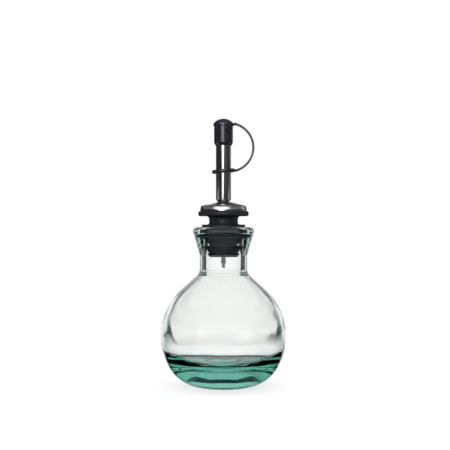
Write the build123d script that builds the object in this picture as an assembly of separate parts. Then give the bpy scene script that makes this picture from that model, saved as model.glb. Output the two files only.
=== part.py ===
"""Round glass oil bottle with a lift-out pourer and a tethered push-on spout cap.

Lengths are in millimetres and angles in degrees. +Z points up along the bottle's axis, and
the origin is the centre of the foot, on the surface that the bottle stands on.
"""

import os
from math import asin, atan2, cos, degrees, radians, sin, sqrt, tan

from build123d import *

# Driving dimensions: bottle body
body_radius = 37.6
foot_cut = 7.3  # how far the foot's plane cuts into the sphere
foot_radius = 12.0
wall = 2.2
floor_thickness = 13.3
floor_curve_radius = 400.0
floor_corner_rounding = 12.0
punt_radius = 9.4
punt_depth = 2.2
punt_edge_rounding = 1.0
shoulder_angle = 48.0  # above the horizon, where the sphere runs on as a straight shoulder
shoulder_rounding = 5.5
throat_rounding = 1.6

# Driving dimensions: neck and lip
neck_radius = 14.35
bore_radius = 12.1
neck_length = 10.9
lip_height = 16.6
lip_flare_angle = 16.3
lip_rounding = 2.6
lip_root_rounding = 1.2
mouth_rounding = 0.5

# Driving dimensions: stopper
stopper_depth = 17.9  # below the bottle's mouth
core_radius = 8.7
core_bevel = 0.5
plug_depth = 5.8
plug_taper_height = 2.7
main_fin_depth = 10.9
main_fin_root = 1.5
main_fin_tip = 0.8
small_fin_count = 3
small_fin_pitch = 1.9
small_fin_reach = 1.0
small_fin_root_thickness = 1.0
small_fin_tip_thickness = 0.5
mouth_disc_radius = 13.0
mouth_disc_thickness = 1.4
mouth_disc_bevel = 0.35
waist_radius = 8.65
waist_height = 5.0
waist_foot_rounding = 1.2
waist_head_rounding = 1.7
flange_radius = 15.15
flange_thickness = 3.1
flange_rounding = 1.1
boss_bevel = 0.5

# Driving dimensions: steel collar
collar_thickness = 0.5
collar_skirt_height = 3.1
collar_skirt_radius = 13.95
collar_rim_radius = 13.5
collar_cone_angle = 13.6
collar_rim_rounding = 0.9

# Driving dimensions: spout and vent
spout_radius = 4.5
spout_wall = 0.5
spout_length = 44.4  # from the collar to the tip
spout_chamfer = 1.2
spout_stem_depth = 13.0
spout_tip_chamfer = 0.2
vent_radius = 1.0
vent_wall = 0.25
vent_below_stopper = 6.6
vent_below_spout_tip = 5.0
ferrule_wall = 0.26
ferrule_below_stopper = 3.8
ferrule_in_stopper = 4.0
ferrule_bead_reach = 0.3
ferrule_bead_height = 1.3
channel_count = 3
channel_width = 1.0
channel_sweep = 70.0
channel_gap_from_vent = 0.75

# Driving dimensions: cap, ring and strap
cap_engagement = 10.7
cap_wall = 1.1
cap_foot_chamfer = 0.8
cap_foot_chamfer_height = 1.8
cap_crown_thickness = 5.4
cap_brim_reach = 0.45
cap_brim_height = 1.4
cap_brim_rounding = 0.4
cap_dome_rise = 2.9
ring_height_on_spout = 18.4
ring_section_width = 2.3
ring_section_height = 2.2
ring_rounding = 0.9
ring_tilt = 5.0
strap_thickness = 1.3
strap_width = 2.6
strap_bow_reach = 11.8  # out from its two roots to its middle
strap_lug_reach = 0.9
lug_root_height = 1.9

# Clearances
stopper_in_bore = 0.05
tube_in_stopper = 0.02
collar_on_boss = 0.05
collar_round_stem = 0.05
cap_on_spout = 0.05
ring_on_spout = 0.15


def revolved(section):
    """Turn a section drawn in the XZ plane, right of the axis, once round the axis."""
    return revolve(section, axis=Axis.Z)


def nearest_corner(section, place):
    """The corner of a section that lies nearest to a place given as radius and height."""
    target = Vector(place[0], 0, place[1])
    return min(section.vertices(), key=lambda corner: (corner.center() - target).length)


def rounded(section, corners):
    """Round the corners of a section. Each entry is the corner's place and its radius."""
    for place, radius in corners:
        section = section.fillet_2d(radius, [nearest_corner(section, place)])
    return section


def turned(outline):
    """Turn a closed outline of (radius, height, corner rounding) round the axis."""
    with BuildSketch(Plane.XZ) as sketch:
        with BuildLine():
            Polyline(*[(radius, height) for radius, height, _ in outline], close=True)
        make_face()
    corners = [((radius, height), size) for radius, height, size in outline if size > 0]
    return revolved(rounded(sketch.sketch.face(), corners))


def cone_rise(radius_run, angle_of_normal):
    """Height gained along a cone whose normal stands at an angle above the horizon."""
    return radius_run / tan(radians(angle_of_normal))


def shoulder_height(sphere_radius, neck):
    """Height where the straight shoulder of a sphere meets a neck of a given radius."""
    angle = radians(shoulder_angle)
    run = sphere_radius * cos(angle) - neck
    return body_centre + sphere_radius * sin(angle) + cone_rise(run, shoulder_angle)


# Heights that follow from the driving dimensions
body_centre = body_radius - foot_cut
neck_foot = shoulder_height(body_radius, neck_radius)
lip_foot = neck_foot + neck_length
mouth = lip_foot + lip_height
stopper_foot = mouth - stopper_depth
disc_top = mouth + mouth_disc_thickness
flange_foot = disc_top + waist_height
collar_seat = flange_foot + flange_thickness
collar_rim = collar_seat + collar_skirt_height
stem_radius = spout_radius - spout_chamfer
stem_bore_radius = stem_radius - spout_wall
collar_hole_radius = stem_radius + collar_round_stem
collar_slope = tan(radians(collar_cone_angle))
collar_top = collar_rim + (collar_rim_radius - collar_hole_radius) * collar_slope
spout_tip = collar_top + spout_length
stem_foot = collar_top - spout_stem_depth
cap_foot = spout_tip - cap_engagement
brim_foot = spout_tip + cap_crown_thickness - cap_dome_rise - cap_brim_height
brim_top = brim_foot + cap_brim_height
ring_middle = collar_top + ring_height_on_spout


def glass_bottle():
    """Blown bottle: punted foot, round heel, sphere, shoulder, neck and thick flared lip."""
    heel_radius = (body_radius**2 - foot_radius**2 - body_centre**2) / (2 * foot_cut)
    heel_angle = degrees(atan2(heel_radius - body_centre, foot_radius))
    punt_curve = (punt_radius**2 + punt_depth**2) / (2 * punt_depth)
    punt_sweep = degrees(asin(punt_radius / punt_curve))
    angle = radians(shoulder_angle)
    shoulder = (body_radius * cos(angle), body_centre + body_radius * sin(angle))
    lip_corner = (neck_radius + lip_height * tan(radians(lip_flare_angle)), mouth)

    inner_radius = body_radius - wall
    inner_shoulder = (inner_radius * cos(angle), body_centre + inner_radius * sin(angle))
    throat = (bore_radius, shoulder_height(inner_radius, bore_radius))
    # The floor's arc is centred far above the floor, and meets the inner sphere at its edge
    floor_centre = floor_thickness + floor_curve_radius
    between = floor_centre - body_centre
    edge_drop = (floor_curve_radius**2 - inner_radius**2 - between**2) / (2 * between)
    edge_radius = sqrt(inner_radius**2 - edge_drop**2)
    edge_angle = degrees(atan2(-edge_drop, edge_radius))
    floor_sweep = degrees(asin(edge_radius / floor_curve_radius))

    with BuildSketch(Plane.XZ) as sketch:
        with BuildLine():
            CenterArc((0, punt_depth - punt_curve), punt_curve, 90, -punt_sweep)
            Line((punt_radius, 0), (foot_radius, 0))
            CenterArc((foot_radius, heel_radius), heel_radius, -90, 90 + heel_angle)
            CenterArc((0, body_centre), body_radius, heel_angle, shoulder_angle - heel_angle)
            Polyline(
                shoulder,
                (neck_radius, neck_foot),
                (neck_radius, lip_foot),
                lip_corner,
                (bore_radius, mouth),
                throat,
                inner_shoulder,
            )
            CenterArc((0, body_centre), inner_radius, shoulder_angle, edge_angle - shoulder_angle)
            CenterArc((0, floor_centre), floor_curve_radius, floor_sweep - 90, -floor_sweep)
            Line((0, floor_thickness), (0, punt_depth))
        make_face()
    corners = [
        ((punt_radius, 0), punt_edge_rounding),
        ((neck_radius, neck_foot), shoulder_rounding),
        ((neck_radius, lip_foot), lip_root_rounding),
        (lip_corner, lip_rounding),
        ((bore_radius, mouth), mouth_rounding),
        (throat, throat_rounding),
        ((edge_radius, body_centre - edge_drop), floor_corner_rounding),
    ]
    return revolved(rounded(sketch.sketch.face(), corners))


def small_fin(height):
    """Outline of one low sealing fin on the stopper's core, from its lower root upwards."""
    tip_radius = core_radius + small_fin_reach
    root = small_fin_root_thickness / 2
    tip = small_fin_tip_thickness / 2
    return [
        (core_radius, height - root, 0),
        (tip_radius, height - tip, 0),
        (tip_radius, height + tip, 0),
        (core_radius, height + root, 0),
    ]


def stopper_blank():
    """The moulded stopper before its bores: core, fins, plug, mouth disc, waist and flange."""
    plug_radius = bore_radius - stopper_in_bore
    main_fin = mouth - main_fin_depth
    plug_foot = mouth - plug_depth
    boss_radius = collar_rim_radius - collar_thickness - collar_on_boss
    boss_corner = collar_seat + collar_skirt_height - collar_thickness - collar_on_boss
    boss_top_radius = spout_radius
    boss_top = boss_corner + (boss_radius - boss_top_radius) * collar_slope

    outline = [
        (0, stopper_foot, 0),
        (core_radius - core_bevel, stopper_foot, 0),
        (core_radius, stopper_foot + core_bevel, 0),
    ]
    for index in range(small_fin_count, 0, -1):
        outline += small_fin(main_fin - index * small_fin_pitch)
    outline += [
        (core_radius, main_fin - main_fin_root / 2, 0),
        (plug_radius, main_fin - main_fin_tip / 2, 0),
        (plug_radius, main_fin + main_fin_tip / 2, 0),
        (core_radius, main_fin + main_fin_root / 2, 0),
        (core_radius, plug_foot - plug_taper_height, 0),
        (plug_radius, plug_foot, 0),
        (plug_radius, mouth, 0),
        (mouth_disc_radius, mouth, 0),
        (mouth_disc_radius, disc_top - mouth_disc_bevel, 0),
        (mouth_disc_radius - mouth_disc_bevel, disc_top, 0),
        (waist_radius, disc_top, waist_foot_rounding),
        (waist_radius, flange_foot, waist_head_rounding),
        (flange_radius, flange_foot, flange_rounding),
        (flange_radius, collar_seat, flange_rounding),
        (boss_radius, collar_seat, 0),
        (boss_radius, boss_corner - boss_bevel, 0),
        (boss_radius - boss_bevel, boss_corner + boss_bevel * collar_slope, 0),
        (boss_top_radius, boss_top, 0),
        (0, boss_top, 0),
    ]
    return turned(outline)


def oil_channels():
    """Kidney-shaped channels that lead oil from the bottle past the vent to the spout."""
    middle_radius = vent_radius + channel_gap_from_vent + channel_width / 2
    height = stem_foot - stopper_foot
    with BuildSketch(Plane.XY.offset(stopper_foot)) as sketch:
        with PolarLocations(0, channel_count):
            SlotArc(CenterArc((0, 0), middle_radius, 0, channel_sweep), channel_width)
    return extrude(sketch.sketch, height)


def bore(radius, low, high):
    """A round cutter on the bottle's axis, between two heights."""
    return Pos(0, 0, low) * Cylinder(radius, high - low, align=(Align.CENTER, Align.CENTER, Align.MIN))


def stopper():
    """Rubber stopper with its spout seat, vent bore, ferrule seat and oil channels."""
    above = collar_top
    cutters = [
        bore(stem_radius + tube_in_stopper, stem_foot, above),
        bore(vent_radius + tube_in_stopper, stopper_foot, above),
        bore(ferrule_radius() + tube_in_stopper, stopper_foot, stopper_foot + ferrule_in_stopper),
        oil_channels(),
    ]
    return stopper_blank() - cutters


def steel_collar():
    """Pressed steel cover over the flange: shallow cone, rounded rim and flared skirt."""
    drop = (collar_rim_radius - collar_hole_radius) * collar_slope
    inner_rim = collar_rim_radius - collar_thickness
    outline = [
        (collar_hole_radius, collar_top, 0),
        (collar_rim_radius, collar_top - drop, collar_rim_rounding),
        (collar_skirt_radius, collar_seat, 0),
        (collar_skirt_radius - collar_thickness, collar_seat, 0),
        (inner_rim, collar_rim - collar_thickness, collar_rim_rounding - collar_thickness),
        (collar_hole_radius, collar_top - collar_thickness, 0),
    ]
    return turned(outline)


def spout_tube():
    """Thin steel tube that narrows through a chamfer to the stem held in the stopper."""
    chamfer_top = collar_top + spout_chamfer
    bore_in_spout = spout_radius - spout_wall
    outline = [
        (stem_radius, stem_foot, 0),
        (stem_radius, collar_top, 0),
        (spout_radius, chamfer_top, 0),
        (spout_radius, spout_tip - spout_tip_chamfer, 0),
        (spout_radius - spout_tip_chamfer, spout_tip, 0),
        (bore_in_spout, spout_tip, 0),
        (bore_in_spout, chamfer_top + spout_wall, 0),
        (stem_bore_radius, collar_top + spout_wall, 0),
        (stem_bore_radius, stem_foot, 0),
    ]
    return turned(outline)


def vent_tube():
    """Fine air tube from below the stopper to just inside the spout's tip."""
    low = stopper_foot - vent_below_stopper
    high = spout_tip - vent_below_spout_tip
    outline = [
        (vent_radius, low, 0),
        (vent_radius, high, 0),
        (vent_radius - vent_wall, high, 0),
        (vent_radius - vent_wall, low, 0),
    ]
    return turned(outline)


def ferrule_radius():
    """Outside radius of the ferrule, which sleeves the vent tube."""
    return vent_radius + tube_in_stopper + ferrule_wall


def vent_ferrule():
    """Short sleeve with a rolled bead, on the vent tube where it leaves the stopper."""
    inside = vent_radius + tube_in_stopper
    outside = ferrule_radius()
    bead = outside + ferrule_bead_reach
    low = stopper_foot - ferrule_below_stopper
    high = stopper_foot + ferrule_in_stopper
    bead_top = low + ferrule_bead_height
    outline = [
        (inside, low, 0),
        (outside, low, 0),
        (bead, low + ferrule_bead_reach, 0),
        (bead, bead_top - ferrule_bead_reach, 0),
        (outside, bead_top, 0),
        (outside, high, 0),
        (inside, high, 0),
    ]
    return turned(outline)


# The strap's bow: a circle through its two roots, drawn in the XZ plane
cap_radius = spout_radius + cap_on_spout + cap_wall
brim_radius = cap_radius + cap_brim_reach
ring_bore_radius = spout_radius + ring_on_spout
ring_radius = ring_bore_radius + ring_section_width
bow_middle = (brim_top + ring_middle) / 2
bow_half_chord = (brim_top - ring_middle) / 2
bow_radius = (bow_half_chord**2 + strap_bow_reach**2) / (2 * strap_bow_reach)
bow_centre = brim_radius + strap_bow_reach - bow_radius


def bow_angle(radius_from_axis):
    """Angle on the strap's bow, above its middle, where it is that far from the axis."""
    return degrees(atan2(
        sqrt(bow_radius**2 - (radius_from_axis - bow_centre) ** 2),
        radius_from_axis - bow_centre,
    ))


def bow_point(angle, from_middle_of_strap=0.0):
    """Place in the XZ plane on the strap's bow, or that far outside its middle line."""
    reach = bow_radius + from_middle_of_strap
    return (
        bow_centre + reach * cos(radians(angle)),
        bow_middle + reach * sin(radians(angle)),
    )


lower_strap_end = -bow_angle(ring_radius + strap_lug_reach)
upper_strap_end = bow_angle(brim_radius + strap_lug_reach)


def lug(root_radius, root_height, end_angle):
    """Tapered lug in the XZ plane that runs from a ring or brim to one end of the strap."""
    half = strap_thickness / 2
    with BuildSketch(Plane.XZ) as sketch:
        with BuildLine():
            Polyline(
                (root_radius, root_height - lug_root_height / 2),
                bow_point(end_angle, half if end_angle < 0 else -half),
                bow_point(end_angle, -half if end_angle < 0 else half),
                (root_radius, root_height + lug_root_height / 2),
                close=True,
            )
        make_face()
    return extrude(sketch.sketch, strap_width / 2, both=True)


def tether_ring():
    """Ring that hangs askew on the spout, with the lug that the strap grows from."""
    half = ring_section_height / 2
    ring = turned([
        (ring_bore_radius, -half, 0),
        (ring_radius, -half, ring_rounding),
        (ring_radius, half, ring_rounding),
        (ring_bore_radius, half, 0),
    ])
    ring = Pos(0, 0, ring_middle) * Rot(0, -ring_tilt, 0) * ring
    root_radius = ring_radius - ring_section_width / 2
    root_height = ring_middle + root_radius * tan(radians(ring_tilt))
    return ring + lug(root_radius, root_height, lower_strap_end)


def tether_strap():
    """Flat strap bowed through a circle, from the ring's lug to the cap's lug."""
    sweep = upper_strap_end - lower_strap_end
    pivot = Axis((bow_centre, 0, bow_middle), (0, -1, 0))
    place = Plane(
        origin=(bow_centre + bow_radius, 0, bow_middle),
        x_dir=(1, 0, 0),
        z_dir=(0, 0, 1),
    )
    section = place * Rectangle(strap_thickness, strap_width)
    return revolve(section, axis=pivot, revolution_arc=sweep).rotate(pivot, lower_strap_end)


def spout_cap():
    """Push-on cap: chamfered sleeve, brim and low dome, with a lug for the strap."""
    inside = spout_radius + cap_on_spout
    dome_radius = (brim_radius**2 + cap_dome_rise**2) / (2 * cap_dome_rise)
    dome_centre = brim_top + cap_dome_rise - dome_radius
    dome_sweep = degrees(asin(brim_radius / dome_radius))
    foot_outside = cap_radius - cap_foot_chamfer
    with BuildSketch(Plane.XZ) as sketch:
        with BuildLine():
            Polyline(
                (0, spout_tip),
                (inside, spout_tip),
                (inside, cap_foot),
                (foot_outside, cap_foot),
                (cap_radius, cap_foot + cap_foot_chamfer_height),
                (cap_radius, brim_foot),
                (brim_radius, brim_foot),
                (brim_radius, brim_top),
            )
            CenterArc((0, dome_centre), dome_radius, 90 - dome_sweep, dome_sweep)
            Line((0, brim_top + cap_dome_rise), (0, spout_tip))
        make_face()
    brim_edge = ((brim_radius, brim_top), cap_brim_rounding)
    cap = revolved(rounded(sketch.sketch.face(), [brim_edge]))
    lug_root_radius = cap_radius - cap_wall / 2
    return cap + lug(lug_root_radius, brim_top - lug_root_height / 2, upper_strap_end)


parts = {
    "glass_bottle": glass_bottle(),
    "stopper": stopper(),
    "steel_collar": steel_collar(),
    "spout_tube": spout_tube(),
    "vent_tube": vent_tube(),
    "vent_ferrule": vent_ferrule(),
    "tether_ring": tether_ring(),
    "tether_strap": tether_strap(),
    "spout_cap": spout_cap(),
}

os.makedirs("parts", exist_ok=True)
for name, shape in parts.items():
    export_step(shape, f"parts/{name}.step")
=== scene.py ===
"""Round glass oil bottle with its lift-out pourer, dressed and lit on a plain white sweep.

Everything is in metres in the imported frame: +Z up along the bottle's axis, the origin at the
centre of the foot, and the camera in front, looking along +Y.
"""

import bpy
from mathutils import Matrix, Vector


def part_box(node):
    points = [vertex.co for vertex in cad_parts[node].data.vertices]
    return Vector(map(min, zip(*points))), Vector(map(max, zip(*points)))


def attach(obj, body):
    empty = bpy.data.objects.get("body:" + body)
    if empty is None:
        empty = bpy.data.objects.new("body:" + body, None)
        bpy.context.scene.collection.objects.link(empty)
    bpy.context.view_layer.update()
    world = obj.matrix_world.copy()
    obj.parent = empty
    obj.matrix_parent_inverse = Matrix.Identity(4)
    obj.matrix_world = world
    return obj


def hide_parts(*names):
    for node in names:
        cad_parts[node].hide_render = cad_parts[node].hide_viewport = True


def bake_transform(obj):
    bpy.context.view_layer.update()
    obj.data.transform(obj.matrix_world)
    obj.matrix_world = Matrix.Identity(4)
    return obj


bl_info = {
    "name": "Oil Pourer Bottle",
    "version": (1, 0, 0),
    "blender": (4, 5, 0),
    "location": "3D View > Sidebar > Pourer Bottle",
    "description": "Turns and moulds a glass oil bottle with its pourer, finishes it and lights it",
    "category": "Add Mesh",
}

from math import acos, asin, atan2, cos, degrees, pi, radians, sin, sqrt, tan

import bmesh
import bpy
from bpy.props import FloatProperty, FloatVectorProperty, IntProperty, PointerProperty
from mathutils import Matrix, Vector

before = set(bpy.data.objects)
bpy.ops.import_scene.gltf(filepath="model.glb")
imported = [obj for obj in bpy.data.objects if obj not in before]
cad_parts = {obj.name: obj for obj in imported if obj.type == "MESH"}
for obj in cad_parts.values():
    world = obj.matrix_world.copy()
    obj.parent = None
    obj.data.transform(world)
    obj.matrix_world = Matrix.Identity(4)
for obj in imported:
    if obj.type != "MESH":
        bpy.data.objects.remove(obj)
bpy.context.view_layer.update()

mm = 0.001

# Clearances and seats between the pieces, how near points are to be welded into one, and which
# of the endless patterns of waves the glass gets
seat_gap = 0.02 * mm
collar_gap = 0.05 * mm
ferrule_grip = 0.26 * mm
bead_reach = 0.3 * mm
strap_root = 1.2 * mm
weld_distance = 0.002 * mm
wave_seed = 4.0


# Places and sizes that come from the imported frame
def low(node):
    """Lowest height of a CAD node."""
    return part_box(node)[0].z


def high(node):
    """Highest height of a CAD node."""
    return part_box(node)[1].z


def reach(node):
    """How far a CAD node reaches from the axis along Y, which no lug or tilt widens."""
    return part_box(node)[1].y


def length(name, default, description):
    """A length that a user may change."""
    return FloatProperty(
        name=name, description=description, default=default, min=0.0, unit="LENGTH", precision=5
    )


def angle(name, default, description):
    """An angle that a user may change, given in degrees."""
    return FloatProperty(
        name=name, description=description, default=radians(default), subtype="ANGLE"
    )


def number(name, default, description):
    """A plain number that a user may change."""
    return FloatProperty(name=name, description=description, default=default)


def colour(name, default, description):
    """A colour that a user may change."""
    return FloatVectorProperty(
        name=name, description=description, default=default, size=3, min=0.0, max=1.0,
        subtype="COLOR",
    )


# Sizes and colours


class GlassSettings(bpy.types.PropertyGroup):
    """Blown glass bottle."""

    body_radius: length("Body Radius", 37.53 * mm, "Outside radius of the round body")
    foot_cut: length("Foot Cut", 7.3 * mm, "How far the foot's plane cuts into the sphere")
    foot_radius: length("Foot Radius", 12.0 * mm, "Outside radius of the flat foot")
    wall: length("Wall", 2.2 * mm, "Thickness of the body's wall")
    floor_thickness: length("Floor", 13.3 * mm, "Thickness of the floor on the axis")
    floor_curve: length("Floor Curve", 400.0 * mm, "Radius of the floor's shallow bowl")
    floor_corner: length("Floor Corner", 12.0 * mm, "Rounding between the floor and the wall")
    punt_radius: length("Punt Radius", 9.4 * mm, "Radius of the hollow under the foot")
    punt_depth: length("Punt Depth", 2.2 * mm, "Depth of the hollow under the foot")
    punt_rounding: length("Punt Rounding", 1.0 * mm, "Rounding of the hollow's edge")
    shoulder_angle: angle("Shoulder Angle", 48.0, "Angle at which the sphere turns into a cone")
    shoulder_rounding: length("Shoulder Rounding", 5.5 * mm, "Rounding where the neck starts")
    throat_rounding: length("Throat Rounding", 1.6 * mm, "Rounding inside, under the neck")
    neck_radius: length("Neck Radius", 14.35 * mm, "Outside radius of the neck")
    bore_radius: length("Bore Radius", 12.1 * mm, "Radius of the neck's bore")
    neck_length: length("Neck Length", 10.9 * mm, "Straight neck between shoulder and lip")
    lip_flare: angle("Lip Flare", 16.3, "Angle of the lip's outside from the axis")
    lip_rounding: length("Lip Rounding", 2.6 * mm, "Rounding of the lip's outer edge")
    lip_root_rounding: length("Lip Root", 1.2 * mm, "Rounding where the lip flares from the neck")
    mouth_rounding: length("Mouth Rounding", 0.5 * mm, "Rounding of the mouth's inner edge")
    sides: IntProperty(name="Sides", description="Facets round the bottle", default=192, min=12)
    wave_height: length("Wave Height", 0.35 * mm, "Unevenness that blowing leaves in the wall")
    wave_size: length("Wave Size", 18.0 * mm, "Distance between the waves in the wall")
    ripple_scale: number("Ripple Scale", 90.0, "Ripples in a metre of the glass's surface")
    ripple_depth: length("Ripple Depth", 0.05 * mm, "Depth of the ripples in the surface")
    tint: colour("Tint", (0.30, 0.79, 0.69), "Colour of thick glass")
    tint_density: number("Tint Density", 36.0, "How fast the tint deepens, per metre of glass")


class StopperSettings(bpy.types.PropertyGroup):
    """Moulded rubber stopper."""

    core_radius: length("Core Radius", 8.7 * mm, "Radius of the core between the fins")
    plug_radius: length("Plug Radius", 12.05 * mm, "Radius of the plug and the main fin")
    plug_depth: length("Plug Depth", 5.8 * mm, "Depth of the plug below the mouth")
    plug_taper: length("Plug Taper", 2.7 * mm, "Height of the cone under the plug")
    seal_depth: length("Seal Depth", 3.3 * mm, "Depth of the plug's sealing band below the mouth")
    seal_height: length("Seal Height", 2.1 * mm, "Height of the band that presses on the bore")
    seal_reach: length("Seal Reach", 0.07 * mm, "How far the sealing band stands out of the plug")
    main_fin_depth: length("Main Fin Depth", 10.9 * mm, "Depth of the main fin below the mouth")
    fin_count: IntProperty(name="Small Fins", description="Low fins under the main one", default=3)
    fin_pitch: length("Fin Pitch", 1.9 * mm, "Distance between the fins")
    fin_reach: length("Fin Reach", 1.0 * mm, "How far a low fin stands out")
    fin_root: length("Fin Root", 1.0 * mm, "Thickness of a low fin at its root")
    fin_tip: length("Fin Tip", 0.5 * mm, "Thickness of a low fin at its tip")
    main_fin_root: length("Main Fin Root", 1.5 * mm, "Thickness of the main fin at its root")
    main_fin_tip: length("Main Fin Tip", 0.8 * mm, "Thickness of the main fin at its tip")
    disc_radius: length("Disc Radius", 13.0 * mm, "Radius of the disc that rests on the mouth")
    disc_thickness: length("Disc Thickness", 1.4 * mm, "Thickness of that disc")
    waist_radius: length("Waist Radius", 8.65 * mm, "Radius of the waist")
    waist_height: length("Waist Height", 5.0 * mm, "Height of the waist")
    flange_thickness: length("Flange Thickness", 3.1 * mm, "Thickness of the flange")
    channel_count: IntProperty(name="Channels", description="Oil channels in the core", default=3)
    channel_width: length("Channel Width", 1.0 * mm, "Width of each oil channel")
    channel_radius: length("Channel Radius", 2.25 * mm, "Distance of the channels from the axis")
    channel_sweep: angle("Channel Sweep", 70.0, "How far each channel reaches round the air tube")
    rubber: colour("Rubber", (0.006, 0.0075, 0.011), "Colour of the rubber")
    roughness: number("Roughness", 0.42, "Middle roughness of the rubber")
    grain: length("Grain", 0.25 * mm, "Size of the grain that the mould left")


class SteelSettings(bpy.types.PropertyGroup):
    """Steel collar, spout, air tube and ferrule."""

    sheet: length("Sheet", 0.5 * mm, "Thickness of the collar and of the spout's wall")
    collar_rim: length("Collar Rim", 13.5 * mm, "Radius of the collar's rim")
    skirt_height: length("Skirt Height", 3.1 * mm, "Height of the collar's skirt")
    rim_rounding: length("Rim Rounding", 0.9 * mm, "Rounding of the collar's rim")
    stem_radius: length("Stem Radius", 3.3 * mm, "Radius of the spout's stem")
    chamfer: length("Chamfer", 1.2 * mm, "Height of the spout's chamfer above the collar")
    air_wall: length("Air Tube Wall", 0.25 * mm, "Wall of the air tube")
    ferrule_bead: length("Bead Height", 1.3 * mm, "Height of the ferrule's rolled bead")
    steel: colour("Steel", (0.62, 0.59, 0.63), "Colour of the polished steel")
    roughness: number("Roughness", 0.11, "Middle roughness of the steel")
    mark_depth: length("Mark Depth", 0.0015 * mm, "Depth of the fine marks round the axis")


class CapSettings(bpy.types.PropertyGroup):
    """Spout cap, tether ring and strap."""

    sleeve_radius: length("Sleeve Radius", 5.65 * mm, "Outside radius of the cap's sleeve")
    bore_radius: length("Bore Radius", 4.55 * mm, "Radius of the cap's bore")
    foot_chamfer: length("Foot Chamfer", 0.8 * mm, "Width of the sleeve's chamfer")
    foot_chamfer_height: length("Chamfer Height", 1.8 * mm, "Height of the sleeve's chamfer")
    brim_height: length("Brim Height", 1.4 * mm, "Height of the brim")
    dome_rise: length("Dome Rise", 2.9 * mm, "Rise of the dome above the brim")
    ring_bore: length("Ring Bore", 4.65 * mm, "Radius of the ring's bore")
    ring_width: length("Ring Width", 2.3 * mm, "Width of the ring's section")
    ring_height: length("Ring Height", 2.2 * mm, "Height of the ring's section")
    ring_middle: length("Ring Place", 128.93 * mm, "Height of the ring's middle")
    ring_tilt: angle("Ring Tilt", 5.0, "How far the ring hangs askew")
    strap_thickness: length("Strap Thickness", 1.3 * mm, "Thickness of the strap")
    strap_width: length("Strap Width", 2.6 * mm, "Width of the strap")
    strap_reach: length("Strap Reach", 11.8 * mm, "How far the strap bows out from its roots")
    strap_flare: number("Strap Flare", 0.45, "How much wider the strap is at its ends")
    plastic: colour("Plastic", (0.004, 0.005, 0.0065), "Colour of the soft plastic")
    roughness: number("Roughness", 0.23, "Middle roughness of the plastic")
    refraction: number("Refraction", 2.0, "Index of refraction, which sets how strongly it shines")
    grain: length("Grain", 0.3 * mm, "Size of the grain that the mould left")
    grain_depth: length("Grain Depth", 0.004 * mm, "Depth of that grain")


class StudioSettings(bpy.types.PropertyGroup):
    """Floor, light and camera."""

    camera_distance: length("Camera Distance", 0.6, "Distance of the camera from the axis")
    camera_height: length("Camera Height", 0.0966, "Height of the level camera")
    camera_side: length("Camera Side", 0.0009, "How far right of the axis the camera stands")
    lens: number("Lens", 80.0, "Focal length in millimetres")
    floor_size: length("Floor Size", 30.0, "Width of the floor")
    floor_grey: number("Floor Grey", 0.4, "How much of the lamp's light the floor throws back")
    floor_glow: number("Floor Glow", 0.66, "Light of the floor's own, which only the camera sees")
    lamp_width: length("Lamp Width", 0.34, "Width of the lamp")
    lamp_height: length("Lamp Height", 0.5, "Height of the lamp")
    lamp_distance: length("Lamp Distance", 1.5, "Distance of the lamp in front of the axis")
    lamp_side: length("Lamp Side", 0.1, "How far left of the axis the lamp stands")
    lamp_rise: length("Lamp Rise", 0.28, "Height of the lamp's middle")
    lamp_aim: length("Lamp Aim", 0.1, "Height on the axis at which the lamp points")
    lamp_power: number("Lamp Power", 9.0, "Power of the lamp in watts")
    lamp_colour: colour("Lamp Colour", (0.97, 0.95, 1.0), "Colour of the lamp's light")


settings_classes = {
    "pourer_glass": GlassSettings,
    "pourer_stopper": StopperSettings,
    "pourer_steel": SteelSettings,
    "pourer_cap": CapSettings,
    "pourer_studio": StudioSettings,
}


# Outlines: lists of (radius, height), in metres


def arc(centre, radius, start, end, step=4.0):
    """Points along an arc, between two angles in degrees, no further apart than step degrees."""
    count = max(2, int(abs(end - start) / step) + 1)
    angles = [radians(start + (end - start) * index / count) for index in range(count + 1)]
    return [(centre[0] + radius * cos(a), centre[1] + radius * sin(a)) for a in angles]


def rounded(outline, closed=False, step=10.0):
    """Round the corners of an outline of (radius, height, rounding)."""
    points = []
    count = len(outline)
    for index, (r, z, rounding) in enumerate(outline):
        if rounding <= 0 or (not closed and index in (0, count - 1)):
            points.append((r, z))
            continue
        corner = Vector((r, z))
        back = (Vector(outline[index - 1][:2]) - corner).normalized()
        ahead = (Vector(outline[(index + 1) % count][:2]) - corner).normalized()
        half = acos(max(-1.0, min(1.0, back.dot(ahead)))) / 2
        centre = corner + (back + ahead).normalized() * rounding / sin(half)
        first = corner + back * rounding / tan(half) - centre
        last = corner + ahead * rounding / tan(half) - centre
        start = degrees(atan2(first.y, first.x))
        turn = degrees(first.angle_signed(last))
        points += arc(centre, rounding, start, start - turn, step)
    if closed:
        points.append(points[0])
    return points


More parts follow.
